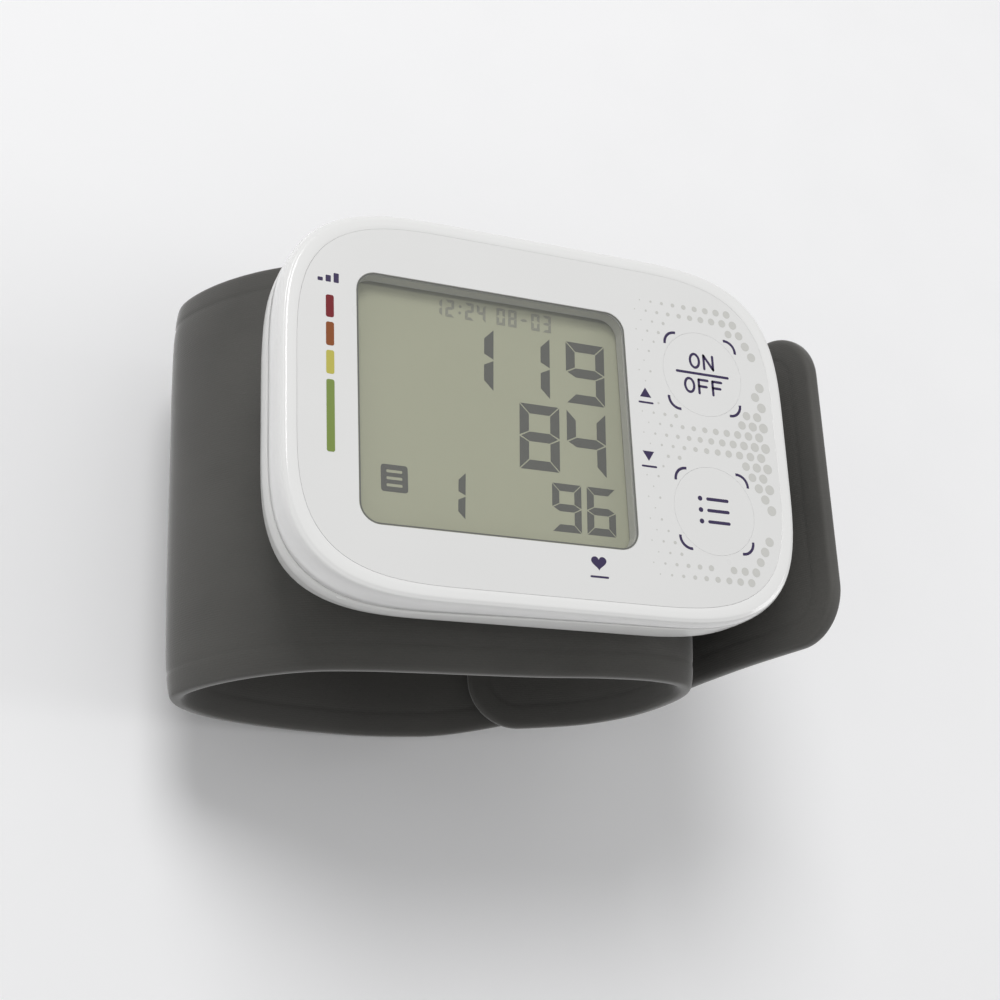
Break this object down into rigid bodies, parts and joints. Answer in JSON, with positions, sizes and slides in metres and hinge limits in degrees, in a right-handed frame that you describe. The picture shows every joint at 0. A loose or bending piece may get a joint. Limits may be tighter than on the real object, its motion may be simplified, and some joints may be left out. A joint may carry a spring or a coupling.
{
  "type": "wrist blood pressure monitor",
  "caption": "Wrist blood pressure monitor lying on its wrapped cuff: a glossy case with a display and push keys on a fabric loop closed by hook and loop, with its tail standing.",
  "frame": {"origin": "under the middle of the case, on the flat of the cuff that the monitor rests on", "axes": "+X to the display's right, +Y to the top of the display, +Z out of the display and up"},
  "size_m": [0.0918, 0.064, 0.0677],
  "materials": {
    "white_gloss": "glossy moulded",
    "panel_gloss": "semi-gloss overlay",
    "key_gloss": "semi-gloss",
    "clear_window": "clear polished",
    "lcd_glass": "satin grey-green",
    "grey_plastic": "satin",
    "white_plastic": "satin",
    "black_plastic": "satin",
    "circuit_board": "solder mask",
    "steel": "plated",
    "contact_metal": "plated spring leaf",
    "cell_jacket": "wrapped can",
    "clear_rubber": "translucent silicone",
    "bladder_rubber": "matt film",
    "strap_fabric": "smooth dark grey loop fabric with welded hems",
    "hook_fabric": "hook tape"
  },
  "bodies": {
    "root": {"front_cover": "white_gloss", "rear_cover": "white_gloss", "face_panel": "panel_gloss", "display_window": "clear_window", "lcd_glass": "lcd_glass", "lcd_frame": "grey_plastic", "zebra_strip": "bladder_rubber", "main_board": "circuit_board", "start_switch": "black_plastic", "memory_switch": "black_plastic", "controller_chip": "black_plastic", "driver_chip": "black_plastic", "buzzer": "black_plastic", "pump_head": "white_plastic", "pump_motor": "steel", "air_manifold": "white_plastic", "pressure_sensor": "white_plastic", "exhaust_valve": "steel", "air_tube": "clear_rubber", "battery_cell_1": "cell_jacket", "battery_cell_2": "cell_jacket", "battery_contact_1": "contact_metal", "battery_contact_2": "contact_metal", "case_screw_1": "steel", "case_screw_2": "steel", "case_screw_3": "steel", "case_screw_4": "steel", "curl_plate": "grey_plastic", "air_bladder": "bladder_rubber", "front_band": "strap_fabric", "inner_leaf": "strap_fabric"},
    "battery_door": {"battery_door": "white_gloss", "door_contact": "contact_metal"},
    "start_key": {"start_key": "key_gloss"},
    "memory_key": {"memory_key": "key_gloss"},
    "outer_leaf": {"outer_leaf": "strap_fabric", "hook_pad": "hook_fabric"},
    "strap_tail": {"strap_tail": "strap_fabric"}
  },
  "joints": [
    {"name": "door_pull", "type": "slide", "parent": "root", "child": "battery_door", "axis": [0, 1, 0], "range_m": [0, 0.012]},
    {"name": "start_press", "type": "slide", "parent": "root", "child": "start_key", "axis": [0, 0, -1], "range_m": [0, 0.0005], "stiffness_N_per_m": 400, "springref_m": -0.001},
    {"name": "memory_press", "type": "slide", "parent": "root", "child": "memory_key", "axis": [0, 0, -1], "range_m": [0, 0.0005], "stiffness_N_per_m": 400, "springref_m": -0.001},
    {"name": "strap_open", "type": "hinge", "parent": "root", "child": "outer_leaf", "pos_m": [-0.0428, 0, 0.0213], "axis": [0, 1, 0], "range_deg": [0, 60], "stiffness_Nm_per_rad": 0.15, "springref_deg": -20.05},
    {"name": "tail_fold", "type": "hinge", "parent": "outer_leaf", "child": "strap_tail", "pos_m": [0.0341, 0, 0.0134], "axis": [0, 1, 0], "range_deg": [0, 40], "stiffness_Nm_per_rad": 0.03, "springref_deg": -17.19}
  ]
}
